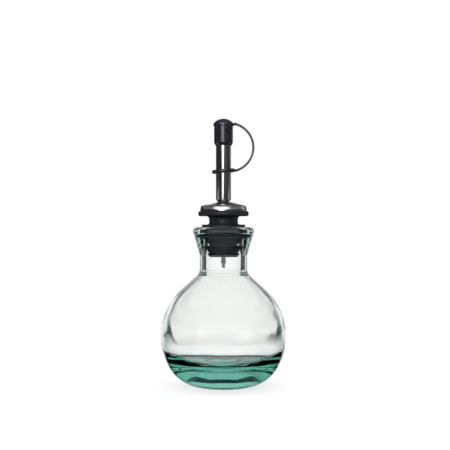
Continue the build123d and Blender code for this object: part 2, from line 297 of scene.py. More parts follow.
def glass_outline(glass):
    """Outline of the bottle from the punt round the outside, over the lip and down the inside."""
    mouth = high("glass_bottle")
    body_centre = glass.body_radius - glass.foot_cut
    heel = (glass.body_radius**2 - glass.foot_radius**2 - body_centre**2) / (2 * glass.foot_cut)
    heel_angle = degrees(atan2(heel - body_centre, glass.foot_radius))
    tilt = glass.shoulder_angle
    shoulder = degrees(tilt)

    punt = (glass.punt_radius**2 + glass.punt_depth**2) / (2 * glass.punt_depth)
    punt_centre = glass.punt_depth - punt
    edge = glass.punt_rounding
    edge_radius = sqrt((punt + edge) ** 2 - (edge - punt_centre) ** 2)
    edge_angle = degrees(atan2(edge - punt_centre, edge_radius))

    def cone_foot(radius, neck):
        """Height where the shoulder's cone meets the neck, inside or outside."""
        return body_centre + radius * sin(tilt) + (radius * cos(tilt) - neck) / tan(tilt)

    inner = glass.body_radius - glass.wall
    neck_foot = cone_foot(glass.body_radius, glass.neck_radius)
    lip_foot = neck_foot + glass.neck_length
    lip_radius = glass.neck_radius + (mouth - lip_foot) * tan(glass.lip_flare)
    upper = rounded([
        (glass.body_radius * cos(tilt), body_centre + glass.body_radius * sin(tilt), 0),
        (glass.neck_radius, neck_foot, glass.shoulder_rounding),
        (glass.neck_radius, lip_foot, glass.lip_root_rounding),
        (lip_radius, mouth, glass.lip_rounding),
        (glass.bore_radius, mouth, glass.mouth_rounding),
        (glass.bore_radius, cone_foot(inner, glass.bore_radius), glass.throat_rounding),
        (inner * cos(tilt), body_centre + inner * sin(tilt), 0),
    ], step=5.0)

    # The rounding between floor and wall lies inside both circles and touches them
    floor_centre = glass.floor_thickness + glass.floor_curve
    to_wall = inner - glass.floor_corner
    to_floor = glass.floor_curve - glass.floor_corner
    between = floor_centre - body_centre
    down = (to_floor**2 - to_wall**2 - between**2) / (2 * between)
    corner = (sqrt(to_wall**2 - down**2), body_centre - down)
    wall_angle = degrees(atan2(-down, corner[0]))
    floor_angle = degrees(atan2(corner[1] - floor_centre, corner[0]))

    return (
        arc((0, punt_centre), punt, 90, edge_angle)
        + arc((edge_radius, edge), edge, edge_angle + 180, 270, 15)
        + arc((glass.foot_radius, heel), heel, -90, heel_angle, 3)
        + arc((0, body_centre), glass.body_radius, heel_angle, shoulder, 2)[1:-1]
        + upper
        + arc((0, body_centre), inner, shoulder, wall_angle, 2)[1:]
        + arc(corner, glass.floor_corner, wall_angle, floor_angle, 5)[1:]
        + arc((0, floor_centre), glass.floor_curve, floor_angle, -90, 1)[1:]
    )


def stopper_outline(stopper, steel):
    """Outline of the stopper, from the bore under the core round its outside to the stem's seat."""
    mouth = high("glass_bottle")
    foot = low("stopper")
    core = stopper.core_radius
    plug = stopper.plug_radius
    disc_top = mouth + stopper.disc_thickness
    flange_foot = disc_top + stopper.waist_height
    seat = flange_foot + stopper.flange_thickness
    flange = reach("stopper")
    plug_foot = mouth - stopper.plug_depth
    seal_foot = mouth - stopper.seal_depth - stopper.seal_height
    boss = steel.collar_rim - steel.sheet - collar_gap
    boss_top = high("steel_collar") - steel.sheet - 0.35 * mm
    ferrule_seat = reach("vent_ferrule") - ferrule_grip
    ferrule_top = high("vent_ferrule")
    stem_seat = low("spout_tube")
    stem = steel.stem_radius + seat_gap
    air_bore = reach("vent_tube") + seat_gap
    boss_edge = seat + steel.skirt_height - steel.sheet - 0.6 * mm

    def fin(depth, radius, root, tip):
        """One fin at a depth below the mouth, thick at its root and round at its tip."""
        middle = mouth - depth
        return [
            (core, middle - root / 2, 0.22 * mm),
            (radius, middle - tip / 2, tip * 0.45),
            (radius, middle + tip / 2, tip * 0.45),
            (core, middle + root / 2, 0.22 * mm),
        ]

    outline = [(ferrule_seat, foot, 0.15 * mm), (core, foot, 0.6 * mm)]
    for index in range(stopper.fin_count, 0, -1):
        depth = stopper.main_fin_depth + index * stopper.fin_pitch
        outline += fin(depth, core + stopper.fin_reach, stopper.fin_root, stopper.fin_tip)
    outline += fin(stopper.main_fin_depth, plug, stopper.main_fin_root, stopper.main_fin_tip)
    outline += [
        (core, plug_foot - stopper.plug_taper, 0.6 * mm),
        (plug, plug_foot, 0.5 * mm),
        (plug, seal_foot - 0.1 * mm, 0),
        (plug + stopper.seal_reach, seal_foot, 0),
        (plug + stopper.seal_reach, seal_foot + stopper.seal_height, 0),
        (plug, seal_foot + stopper.seal_height + 0.1 * mm, 0),
        (plug, mouth, 0.1 * mm),
        (stopper.disc_radius, mouth, 0.12 * mm),
        (stopper.disc_radius, disc_top, 0.55 * mm),
        (stopper.waist_radius, disc_top, 1.2 * mm),
        (stopper.waist_radius, flange_foot, 1.7 * mm),
        (flange, flange_foot, 1.2 * mm),
        (flange, seat, 1.2 * mm),
        (boss, seat, 0),
        (boss, boss_edge, 0.4 * mm),
        (boss - 0.5 * mm, boss_edge + 0.4 * mm, 0),
        (stem, boss_top, 0),
        (stem, stem_seat, 0),
        (air_bore, stem_seat, 0),
        (air_bore, ferrule_top, 0),
        (ferrule_seat, ferrule_top, 0),
    ]
    return rounded(outline, closed=True, step=15.0)


def collar_outline(steel):
    """Outline of the pressed collar: shallow cone, rounded rim and flared skirt."""
    top = high("steel_collar")
    foot = low("steel_collar")
    skirt = reach("steel_collar")
    hole = steel.stem_radius + collar_gap
    rim = steel.collar_rim
    rim_height = foot + steel.skirt_height
    return rounded([
        (hole, top, 0.12 * mm),
        (rim, rim_height, steel.rim_rounding),
        (skirt - 0.05 * mm, foot + steel.skirt_height * 0.32, 1.8 * mm),
        (skirt, foot, 0.12 * mm),
        (skirt - steel.sheet, foot, 0.12 * mm),
        (rim - steel.sheet, rim_height - steel.sheet, steel.rim_rounding - steel.sheet),
        (hole, top - steel.sheet, 0),
    ], closed=True, step=6.0)


def spout_outline(steel):
    """Outline of the spout tube with its narrow stem."""
    foot = low("spout_tube")
    tip = high("spout_tube")
    outside = reach("spout_tube")
    stem = steel.stem_radius
    step_foot = high("steel_collar")
    step_top = step_foot + steel.chamfer
    wall = steel.sheet
    return rounded([
        (stem, foot, 0),
        (stem, step_foot, 0.2 * mm),
        (outside, step_top, 0.35 * mm),
        (outside, tip, 0.2 * mm),
        (outside - wall, tip, 0.15 * mm),
        (outside - wall, step_top + wall, 0),
        (stem - wall, step_foot + wall, 0),
        (stem - wall, foot, 0),
    ], closed=True)


def air_tube_outline(steel):
    """Outline of the air tube."""
    outside = reach("vent_tube")
    inside = outside - steel.air_wall
    foot, tip = low("vent_tube"), high("vent_tube")
    edge = 0.1 * mm
    return rounded(
        [(outside, foot, edge), (outside, tip, edge), (inside, tip, edge), (inside, foot, edge)],
        closed=True, step=20.0,
    )


def ferrule_outline(steel):
    """Outline of the ferrule, with the bead rolled at its foot."""
    inside = reach("vent_tube") + seat_gap
    bead = reach("vent_ferrule")
    outside = bead - bead_reach
    foot, top = low("vent_ferrule"), high("vent_ferrule")
    return rounded([
        (inside, foot, 0),
        (bead, foot, 0.28 * mm),
        (bead, foot + steel.ferrule_bead, 0.28 * mm),
        (outside, foot + steel.ferrule_bead, 0.1 * mm),
        (outside, top, 0),
        (inside, top, 0),
    ], closed=True, step=15.0)


def cap_outline(cap):
    """Outline of the spout cap, from the roof of its bore to the top of its dome."""
    top = high("spout_cap")
    foot = low("spout_cap")
    brim = reach("spout_cap")
    roof = high("spout_tube")
    brim_top = top - cap.dome_rise
    brim_foot = brim_top - cap.brim_height
    dome = (brim**2 + cap.dome_rise**2) / (2 * cap.dome_rise)
    sweep = degrees(asin(brim / dome))
    sleeve = cap.sleeve_radius
    return rounded([
        (0, roof, 0),
        (cap.bore_radius, roof, 0.2 * mm),
        (cap.bore_radius, foot, 0.25 * mm),
        (sleeve - cap.foot_chamfer, foot, 0.25 * mm),
        (sleeve, foot + cap.foot_chamfer_height, 0.8 * mm),
        (sleeve, brim_foot, 0.3 * mm),
        (brim, brim_foot + 0.1 * mm, 0.2 * mm),
        (brim, brim_top, 0.35 * mm),
        (brim - 0.45 * mm, brim_top + 0.32 * mm, 0),
    ]) + arc((0, top - dome), dome, 90 - sweep * 0.9, 90, 3)


def ring_outline(cap):
    """Section of the tether ring, about its own middle."""
    half = cap.ring_height / 2
    inside = cap.ring_bore
    outside = inside + cap.ring_width
    return rounded([
        (inside, -half, 0.3 * mm),
        (outside, -half, 0.9 * mm),
        (outside, half, 0.9 * mm),
        (inside, half, 0.3 * mm),
    ], closed=True, step=12.0)


# Node trees


class Field:
    """A value in a node tree. Arithmetic on it adds Math nodes to that tree."""

    def __init__(self, socket):
        self.socket = socket
        self.tree = socket.id_data

    def __add__(self, other):
        return math_node("ADD", self, other)

    def __radd__(self, other):
        return math_node("ADD", other, self)

    def __sub__(self, other):
        return math_node("SUBTRACT", self, other)

    def __rsub__(self, other):
        return math_node("SUBTRACT", other, self)

    def __mul__(self, other):
        return math_node("MULTIPLY", self, other)

    def __truediv__(self, other):
        return math_node("DIVIDE", self, other)

    def __rtruediv__(self, other):
        return math_node("DIVIDE", other, self)

    def __abs__(self):
        return math_node("ABSOLUTE", self)


def fill(node, inputs):
    """Set a node's inputs, by name or number, to fields or plain values."""
    for name, value in inputs.items():
        if isinstance(value, Field):
            value.tree.links.new(value.socket, node.inputs[name])
        else:
            node.inputs[name].default_value = value


def add_node(tree, kind, inputs=None, **options):
    """A new node with its options and inputs set."""
    node = tree.nodes.new(kind)
    for name, value in options.items():
        setattr(node, name, value)
    fill(node, inputs or {})
    return node


def result(tree, kind, inputs=None, output=0, **options):
    """What a new node puts out, by the output's name or number."""
    return Field(add_node(tree, kind, inputs, **options).outputs[output])


def all_results(node):
    """Everything that a node puts out, by name."""
    return {socket.name: Field(socket) for socket in node.outputs}


def math_node(operation, *values):
    """What a Math node makes of fields and plain numbers."""
    tree = next(value.tree for value in values if isinstance(value, Field))
    return result(tree, "ShaderNodeMath", dict(enumerate(values)), operation=operation)


def parts(field):
    """The X, Y and Z of a vector."""
    return list(all_results(add_node(field.tree, "ShaderNodeSeparateXYZ", {0: field})).values())


def vector(x, y, z=0.0):
    """A vector from its X, Y and Z."""
    return result(x.tree, "ShaderNodeCombineXYZ", {0: x, 1: y, 2: z})


def length_of(field):
    """The length of a vector."""
    return result(field.tree, "ShaderNodeVectorMath", {0: field}, "Value", operation="LENGTH")


def ramp(field, start, end):
    """0 below start, 1 above end and smooth between."""
    return result(
        field.tree, "ShaderNodeMapRange", {"Value": field, "From Min": start, "From Max": end},
        "Result", interpolation_type="SMOOTHSTEP",
    )


def band(field, start, full, fall, end):
    """0 outside a band, 1 where it is full and smooth between."""
    return ramp(field, start, full) - ramp(field, fall, end)


def choose(flag, otherwise, chosen):
    """The chosen value where a flag is 1, and the other one where it is 0."""
    return result(flag.tree, "ShaderNodeMix", {0: flag, 2: otherwise, 3: chosen}, data_type="FLOAT")


def two_colours(mask, first, second):
    """Mix two colours by a mask from 0 to 1."""
    colours = {0: mask, 6: (*first, 1.0), 7: (*second, 1.0)}
    return result(mask.tree, "ShaderNodeMix", colours, 2, data_type="RGBA")


def group_shell(kind, name, inputs, outputs):
    """An empty node group with its named sockets. Inputs may have a default."""
    tree = bpy.data.node_groups.new(name, kind)
    for label, socket_kind, *default in inputs:
        socket = tree.interface.new_socket(label, in_out="INPUT", socket_type="NodeSocket" + socket_kind)
        if default:
            socket.default_value = default[0]
    for label, socket_kind in outputs:
        tree.interface.new_socket(label, in_out="OUTPUT", socket_type="NodeSocket" + socket_kind)
    return tree, all_results(tree.nodes.new("NodeGroupInput")), tree.nodes.new("NodeGroupOutput")


def node_group(name, build):
    """A node group of this file, built once."""
    return bpy.data.node_groups.get(name) or build()


# Geometry Nodes


def hand_over(shape, material, output):
    """End a Geometry Nodes group with plain geometry in its material."""
    shape = result(shape.tree, "GeometryNodeRealizeInstances", {0: shape})
    shape = result(shape.tree, "GeometryNodeSetMaterial", {"Geometry": shape, "Material": material})
    fill(output, {0: shape})


def turned_tree():
    """Geometry Nodes group that turns an outline round the axis into a closed piece."""
    tree, inputs, output = group_shell("GeometryNodeTree", "Turned Piece", [
        ("Outline", "Geometry"),
        ("Sides", "Int"),
        ("Wave Height", "Float"),
        ("Wave Size", "Float"),
        ("Seed", "Float"),
        ("Sharp Angle", "Float"),
        ("Material", "Material"),
    ], [("Geometry", "Geometry")])
    outline = inputs["Outline"]
    position = result(tree, "GeometryNodeInputPosition")

    # A flat grid: one row for each point of the outline, one column for each side
    count = result(tree, "GeometryNodeAttributeDomainSize", {"Geometry": outline}, "Point Count")
    columns = inputs["Sides"] + 1.0
    grid = result(tree, "GeometryNodeMeshGrid", {
        "Size X": 1.0, "Size Y": 1.0, "Vertices X": count, "Vertices Y": columns,
    }, "Mesh")
    across, along, _ = parts(position)
    row = math_node("ROUND", (across + 0.5) * (count - 1.0))
    turn = (along + 0.5) * (2 * pi)

    def sampled(field, kind):
        """A value of the outline, in each row."""
        values = {"Geometry": outline, "Value": field, "Index": row}
        return result(tree, "GeometryNodeSampleIndex", values, data_type=kind)

    # Each row takes its radius, height and waviness from the outline
    wave = result(
        tree, "GeometryNodeInputNamedAttribute", {"Name": "wave"}, "Attribute", data_type="FLOAT"
    )
    radius, _, height = parts(sampled(position, "FLOAT_VECTOR"))
    share = sampled(wave, "FLOAT")

    def on_circle(radius):
        """The place on a circle of that radius, at the outline's height."""
        return vector(radius * math_node("COSINE", turn), radius * math_node("SINE", turn), height)

    # Negative shares wave apart from positive ones, so that inside and outside differ
    noise = result(tree, "ShaderNodeTexNoise", {
        "Detail": 1.0,
        "Vector": on_circle(radius),
        "Scale": 1.0 / inputs["Wave Size"],
        "W": inputs["Seed"] + math_node("SIGN", share),
    }, noise_dimensions="4D")
    swing = (noise - 0.5) * 2.0
    waved = radius + swing * (abs(share) * inputs["Wave Height"])

    shape = result(tree, "GeometryNodeSetPosition", {"Geometry": grid, "Position": on_circle(waved)})
    weld = {"Geometry": shape, "Distance": weld_distance}
    shape = result(tree, "GeometryNodeMergeByDistance", weld)
    shape = result(tree, "GeometryNodeSetShadeSmooth", {"Geometry": shape})
    bend = result(tree, "GeometryNodeInputMeshEdgeAngle", output="Unsigned Angle")
    smooth = {"Geometry": shape, "Shade Smooth": math_node("LESS_THAN", bend, inputs["Sharp Angle"])}
    shape = result(tree, "GeometryNodeSetShadeSmooth", smooth, domain="EDGE")
    hand_over(shape, inputs["Material"], output)
    return tree


def strap_tree():
    """Geometry Nodes group that sweeps a soft-cornered strap along a path, flared at its ends."""
    tree, inputs, output = group_shell("GeometryNodeTree", "Moulded Strap", [
        ("Path", "Geometry"),
        ("Width", "Float"),
        ("Thickness", "Float"),
        ("Flare", "Float"),
        ("Material", "Material"),
    ], [("Geometry", "Geometry")])

    # The scale is 1 along the strap and grows near both ends
    along = result(tree, "GeometryNodeSplineParameter", output="Factor")
    from_middle = abs(along - 0.5) * 2.0
    scale = 1.0 + math_node("POWER", from_middle, 14.0) * inputs["Flare"]
    path = result(tree, "GeometryNodeMeshToCurve", {"Mesh": inputs["Path"]})
    path = result(tree, "GeometryNodeSetCurveRadius", {"Curve": path, "Radius": scale})

    thickness = inputs["Thickness"]
    section = result(
        tree, "GeometryNodeCurvePrimitiveQuadrilateral", {"Width": inputs["Width"], "Height": thickness}
    )
    section = result(
        tree, "GeometryNodeFilletCurve", {"Curve": section, "Count": 4, "Radius": thickness * 0.36},
        mode="POLY",
    )
    sweep = {"Curve": path, "Profile Curve": section, "Fill Caps": True, "Scale": scale}
    shape = result(tree, "GeometryNodeCurveToMesh", sweep)
    shape = result(tree, "GeometryNodeSetShadeSmooth", {"Geometry": shape})
    hand_over(shape, inputs["Material"], output)
    return tree


def line_mesh(name, points, waves=None):
    """Mesh of points joined in a row in the XZ plane, with each point's share of the waves."""
    mesh = bpy.data.meshes.new(name)
    mesh.from_pydata([(x, 0, z) for x, z in points], [(i, i + 1) for i in range(len(points) - 1)], [])
    shares = mesh.attributes.new("wave", "FLOAT", "POINT")
    shares.data.foreach_set("value", waves or [0.0] * len(points))
    return mesh


def baked(name, source, tree, values):
    """Run a Geometry Nodes group on a mesh, and keep its result as a plain object."""
    helper = bpy.data.objects.new(name + "_outline", source)
    bpy.context.scene.collection.objects.link(helper)
    modifier = helper.modifiers.new(tree.name, "NODES")
    modifier.node_group = tree
    sockets = {item.name: item.identifier for item in tree.interface.items_tree if item.in_out == "INPUT"}
    for socket, value in values.items():
        modifier[sockets[socket]] = value
    evaluated = helper.evaluated_get(bpy.context.evaluated_depsgraph_get())
    mesh = bpy.data.meshes.new_from_object(evaluated)
    mesh.name = name
    helper.modifiers.remove(modifier)
    bpy.data.objects.remove(helper)
    turn_outwards(mesh)
    mesh.materials.clear()
    mesh.materials.append(values["Material"])
    piece = bpy.data.objects.new(name, mesh)
    bpy.context.scene.collection.objects.link(piece)
    return piece


def turn_outwards(mesh):
    """Make the faces of a closed mesh point outwards."""
    shape = bmesh.new()
    shape.from_mesh(mesh)
    bmesh.ops.recalc_face_normals(shape, faces=shape.faces)
    shape.to_mesh(mesh)
    shape.free()


def turned(name, points, material, sides=96, waves=None, wave_height=0.0, wave_size=1.0, sharp=40.0):
    """A piece turned from an outline."""
    return baked(name, line_mesh(name, points, waves), node_group("Turned Piece", turned_tree), {
        "Sides": sides,
        "Wave Height": wave_height,
        "Wave Size": wave_size,
        "Seed": wave_seed,
        "Sharp Angle": radians(sharp),
        "Material": material,
    })


def finish_piece(piece, node, body=None):
    """Stand a piece in for its CAD node, on the node's body."""
    if body:
        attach(piece, body)
    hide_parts(node)
    return piece


# Materials


def object_place(tree):
    """The Object coordinates."""
    return result(tree, "ShaderNodeTexCoord", output="Object")


def noise_field(place, scale, detail=2.0, roughness=0.5):
    """A noise texture's value, from -1 to 1."""
    noise = result(place.tree, "ShaderNodeTexNoise", {
        "Vector": place, "Scale": scale, "Detail": detail, "Roughness": roughness,
    })
    return (noise - 0.5) * 2.0


def moulded_grain():
    """Shader group: the grain of a mould and the patchy bloom of handled rubber."""
    tree, inputs, output = group_shell(
        "ShaderNodeTree", "Moulded Grain",
        [("Grain Size", "Float", 0.3 * mm), ("Patch Size", "Float", 6.0 * mm)],
        [("Height", "Float"), ("Patches", "Float")],
    )
    place = object_place(tree)
    fill(output, {
        "Height": noise_field(place, 1.0 / inputs["Grain Size"], 3.0),
        "Patches": noise_field(place, 1.0 / inputs["Patch Size"], 4.0, 0.62),
    })
    return tree


def turning_marks():
    """Shader group: fine marks that run round the axis, and the smears of a wiping cloth."""
    tree, inputs, output = group_shell(
        "ShaderNodeTree", "Turning Marks",
        [("Mark Size", "Float", 0.16 * mm), ("Smear Size", "Float", 5.0 * mm)],
        [("Height", "Float"), ("Smears", "Float")],
    )
    place = object_place(tree)
    x, y, z = parts(place)
    profile = vector(length_of(vector(x, y)), z)
    fill(output, {
        "Height": noise_field(profile, 1.0 / inputs["Mark Size"], 2.0),
        "Smears": noise_field(place, 1.0 / inputs["Smear Size"], 4.0, 0.6),
    })
    return tree


def new_material(name):
    """A material with an empty Principled shader."""
    material = bpy.data.materials.new(name)
    material.use_nodes = True
    tree = material.node_tree
    return material, tree, tree.nodes["Principled BSDF"]


def add_group(tree, name, build, values):
    """Place a shared node group in a material, with its own values."""
    return all_results(add_node(tree, "ShaderNodeGroup", values, node_tree=node_group(name, build)))


def spread(field, low_value, high_value):
    """Map most of a noise field to the span between two values."""
    return result(field.tree, "ShaderNodeMapRange", {
        "Value": field, "From Min": -0.6, "From Max": 0.6, "To Min": low_value, "To Max": high_value,
    }, "Result")


def relief(height, distance, strength=1.0):
    """The normal of a surface whose height changes by so much."""
    values = {"Strength": strength, "Distance": distance, "Height": height}
    return result(height.tree, "ShaderNodeBump", values)


def glass_material(glass):
    """Clear glass whose tint deepens with its thickness, faintly rippled by blowing."""
    material, tree, shader = new_material("blown_glass")
    ripples = noise_field(object_place(tree), glass.ripple_scale, 1.5)
    fill(shader, {
        "Base Color": (1.0, 1.0, 1.0, 1.0),
        "Roughness": 0.0,
        "IOR": 1.5,
        "Transmission Weight": 1.0,
        "Normal": relief(ripples, glass.ripple_depth, 0.5),
    })
    fill(tree.nodes["Material Output"], {"Volume": result(tree, "ShaderNodeVolumeAbsorption", {
        "Color": (*glass.tint, 1.0), "Density": glass.tint_density,
    })})
    return material


def rubber_material(name, base, roughness, grain, refraction=1.5, depth=0.02 * mm, crown=None):
    """Black moulded rubber or soft plastic: grained, patchy in gloss, with a pale bloom."""
    material, tree, shader = new_material(name)
    field = add_group(tree, "Moulded Grain", moulded_grain, {"Grain Size": grain, "Patch Size": 5 * mm})
    patches = spread(field["Patches"], 0.0, 1.0)
    bloom = tuple(min(1.0, value * 1.9 + 0.004) for value in base)
    gloss = spread(field["Patches"], roughness - 0.07, roughness + 0.09)
    height = field["Height"]
    if crown is not None:
        # The dome's top is coarser and duller: lumps that fade out below its edge
        place = object_place(tree)
        on_top = result(tree, "ShaderNodeMapRange", {
            "Value": parts(place)[2], "From Min": crown - 0.3 * mm, "From Max": crown + 0.5 * mm,
        }, "Result")
        lumps = noise_field(place, 1 / (1.6 * mm), 2.0)
        height = height + lumps * on_top * (0.18 * mm / depth)
        gloss = gloss + on_top * 0.4
    fill(shader, {
        "Base Color": two_colours(patches, base, bloom),
        "Roughness": gloss,
        "IOR": refraction,
        "Specular Tint": (0.86, 0.84, 1.0, 1.0),
        "Normal": relief(height, depth),
    })
    return material


def steel_material(name, base, roughness, mark_depth):
    """Polished steel with fine marks round the axis and cloth smears."""
    material, tree, shader = new_material(name)
    field = add_group(tree, "Turning Marks", turning_marks, {"Mark Size": 0.16 * mm, "Smear Size": 5 * mm})
    smears = field["Smears"]
    dull = tuple(value * 0.86 for value in base)
    fill(shader, {
        "Metallic": 1.0,
        "Base Color": two_colours(spread(smears, 0.0, 1.0), base, dull),
        "Roughness": spread(smears, roughness * 0.8, roughness * 1.35),
        "Normal": relief(field["Height"], mark_depth),
    })
    return material


def material_once(name, build):
    """A material of this file, built once."""
    return bpy.data.materials.get(name) or build()


# Operators


class PieceOperator:
    """Shared options of the operators that make pieces."""

    bl_options = {"REGISTER", "UNDO"}


class POURER_OT_glass_bottle(PieceOperator, bpy.types.Operator):
    """Turn the glass bottle, with the uneven wall of blown glass."""

    bl_idname = "pourer.glass_bottle"
    bl_label = "Glass Bottle"

    def execute(self, context):
        glass = context.scene.pourer_glass
        points = glass_outline(glass)
        material = material_once("blown_glass", lambda: glass_material(glass))
        bottle = turned(
            "bottle_glass", points, material, sides=glass.sides, waves=self.waves(glass, points),
            wave_height=glass.wave_height, wave_size=glass.wave_size, sharp=60.0,
        )
        finish_piece(bottle, "glass_bottle", "bottle")
        return {"FINISHED"}

    def waves(self, glass, points):
        """Share of the waves at each point: none at the foot and where the stopper seals."""
        still = low("stopper") - 3 * mm
        fade = 12 * mm
        pole_fade = 10 * mm
        outside_share = -0.35
        lowest_inside = glass.floor_thickness * 0.9
        mouth = points.index(max(points, key=lambda point: point[1]))
        shares = []
        for index, (radius, height) in enumerate(points):
            if index <= mouth:
                ground = min(1.0, height / fade)
                neck = max(0.0, min(1.0, (still - height) / fade))
                shares.append(outside_share * ground * neck)
            else:
                seal = max(0.0, min(1.0, (still - height) / (fade / 2)))
                pole = min(1.0, radius / pole_fade)
                shares.append(seal * pole if height > lowest_inside else pole)
        return shares


class POURER_OT_stopper(PieceOperator, bpy.types.Operator):
    """Mould the rubber stopper and cut its oil channels."""

    bl_idname = "pourer.stopper"
    bl_label = "Stopper"

    def execute(self, context):
        stopper = context.scene.pourer_stopper
        steel = context.scene.pourer_steel
        material = material_once("moulded_rubber", lambda: rubber_material(
            "moulded_rubber", stopper.rubber, stopper.roughness, stopper.grain
        ))
        piece = turned("stopper_rubber", stopper_outline(stopper, steel), material, sides=128)
        self.cut_channels(piece, stopper)
        finish_piece(piece, "stopper", "pourer")
        return {"FINISHED"}

    def cut_channels(self, piece, stopper):
        """Cut the kidney-shaped oil channels up through the core."""
        foot = low("stopper") - 1 * mm
        top = low("spout_tube") + 0.5 * mm
        half = stopper.channel_width / 2
        sweep = degrees(stopper.channel_sweep) / 2
        radius = stopper.channel_radius
        shape = bmesh.new()
        for index in range(stopper.channel_count):
            turn = index * 360 / stopper.channel_count
            end_angle = radians(turn + sweep)
            start_angle = radians(turn - sweep)
            outline = arc((0, 0), radius + half, turn - sweep, turn + sweep, 10)
            end = (radius * cos(end_angle), radius * sin(end_angle))
            outline += arc(end, half, turn + sweep, turn + sweep + 180, 30)[1:-1]
            outline += arc((0, 0), radius - half, turn + sweep, turn - sweep, 10)
            start = (radius * cos(start_angle), radius * sin(start_angle))
            outline += arc(start, half, turn - sweep + 180, turn - sweep + 360, 30)[1:-1]
            face = shape.faces.new([shape.verts.new((x, y, foot)) for x, y in outline])
            raised = bmesh.ops.extrude_face_region(shape, geom=[face])["geom"]
            corners = [item for item in raised if isinstance(item, bmesh.types.BMVert)]
            bmesh.ops.translate(shape, verts=corners, vec=(0, 0, top - foot))
        bmesh.ops.recalc_face_normals(shape, faces=shape.faces)
        mesh = bpy.data.meshes.new("oil_channels")
        shape.to_mesh(mesh)
        shape.free()
        cutter = bpy.data.objects.new("oil_channels", mesh)
        bpy.context.scene.collection.objects.link(cutter)
        cut = piece.modifiers.new("Oil Channels", "BOOLEAN")
        cut.operation = "DIFFERENCE"
        cut.solver = "EXACT"
        cut.object = cutter
        evaluated = piece.evaluated_get(bpy.context.evaluated_depsgraph_get())
        solid = bpy.data.meshes.new_from_object(evaluated)
        piece.modifiers.remove(cut)
        piece.data = solid
        bpy.data.objects.remove(cutter)


class POURER_OT_steel(PieceOperator, bpy.types.Operator):
    """Turn the collar, the spout, the air tube and its ferrule."""

    bl_idname = "pourer.steel"
    bl_label = "Steel Pieces"

    def execute(self, context):
        steel = context.scene.pourer_steel
        bright = material_once("turned_steel", lambda: steel_material(
            "turned_steel", steel.steel, steel.roughness, steel.mark_depth
        ))
        rows = [
            ("collar_steel", "steel_collar", collar_outline(steel), 160),
            ("spout_steel", "spout_tube", spout_outline(steel), 96),
            ("air_tube_steel", "vent_tube", air_tube_outline(steel), 48),
            ("ferrule_steel", "vent_ferrule", ferrule_outline(steel), 48),
        ]
        for name, node, points, sides in rows:
            piece = turned(name, points, bright, sides=sides, sharp=35.0)
            finish_piece(piece, node, "pourer")
        return {"FINISHED"}


class POURER_OT_cap(PieceOperator, bpy.types.Operator):
    """Mould the spout cap, the ring round the spout and the strap between them."""

    bl_idname = "pourer.cap"
    bl_label = "Cap and Tether"

    def execute(self, context):
        cap = context.scene.pourer_cap
        crown = high("spout_cap") - cap.dome_rise
        material = material_once("soft_plastic", lambda: rubber_material(
            "soft_plastic", cap.plastic, cap.roughness, cap.grain, refraction=cap.refraction,
            depth=cap.grain_depth, crown=crown,
        ))
        piece = turned("cap_plastic", cap_outline(cap), material, sides=96)
        finish_piece(piece, "spout_cap", "cap")

        ring = turned("ring_plastic", ring_outline(cap), material, sides=96)
        tilt = Matrix.Rotation(-cap.ring_tilt, 4, "Y")
        ring.data.transform(Matrix.Translation((0, 0, cap.ring_middle)) @ tilt)
        finish_piece(ring, "tether_ring", "tether")

        path = self.strap_path(cap)
        strap = baked("strap_plastic", line_mesh("strap", path), node_group("Moulded Strap", strap_tree), {
            "Width": cap.strap_width,
            "Thickness": cap.strap_thickness,
            "Flare": cap.strap_flare,
            "Material": material,
        })
        finish_piece(strap, "tether_strap")
        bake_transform(strap)
        return {"FINISHED"}

    def strap_path(self, cap):
        """Places along the strap's middle, from inside the ring to inside the brim."""
        brim_top = high("spout_cap") - cap.dome_rise
        half_chord = (brim_top - cap.ring_middle) / 2
        middle = (brim_top + cap.ring_middle) / 2
        bow = (half_chord**2 + cap.strap_reach**2) / (2 * cap.strap_reach)
        centre = reach("spout_cap") + cap.strap_reach - bow
        ring_edge = cap.ring_bore + cap.ring_width
        start = atan2(-sqrt(bow**2 - (ring_edge - centre) ** 2), ring_edge - centre)
        end = atan2(sqrt(bow**2 - (reach("spout_cap") - centre) ** 2), reach("spout_cap") - centre)
        # The bow stops a few degrees short at both ends, and one more place lies in each piece
        bowed = arc((centre, middle), bow, degrees(start) + 3, degrees(end) - 4, 2.5)
        ring_root = (ring_edge - strap_root, cap.ring_middle + 0.45 * mm)
        cap_root = (cap.sleeve_radius - 0.9 * mm, brim_top - 0.75 * mm)
        return [ring_root] + bowed + [cap_root]


# The backdrop's bands: where each starts, is full, falls off and ends. Rings on the floor are
# distances from the axis, bands of height go from 0 at the horizon to 1 overhead, and the rest
# are angles round the axis


def in_radians(*angles):
    """Angles given in degrees, in radians."""
    return tuple(radians(value) for value in angles)


foot_ring = (0.009, 0.0095, 0.0115, 0.0125)
rim_ring = (0.026, 0.028, 0.033, 0.037)
body_ring = (0.10, 0.14, 0.20, 0.34)
base_ring = (0.045, 0.05, 0.065, 0.075)
outside_ring = (0.05, 0.06, 0.11, 0.125)
ceiling_band = (0.14, 0.24, 0.32, 0.41)
front_band = (0.2, 0.3, 0.34, 0.5)
ceiling_sector = in_radians(-30, -12, -1, 2.5)
wall_sector = in_radians(34, 42, 70, 78)
ray_sector = in_radians(13, 16, 32, 36)
side_sector = in_radians(36, 40, 100, 110)
beside_sector = (1.2, 1.4, 1.7, 2.2)

# White, and the warmer tone and level of what shows straight through the green glass
white = (1.0, 1.0, 1.0)
straight_tone = (1.0, 0.94, 0.935)
straight_level = 1.1


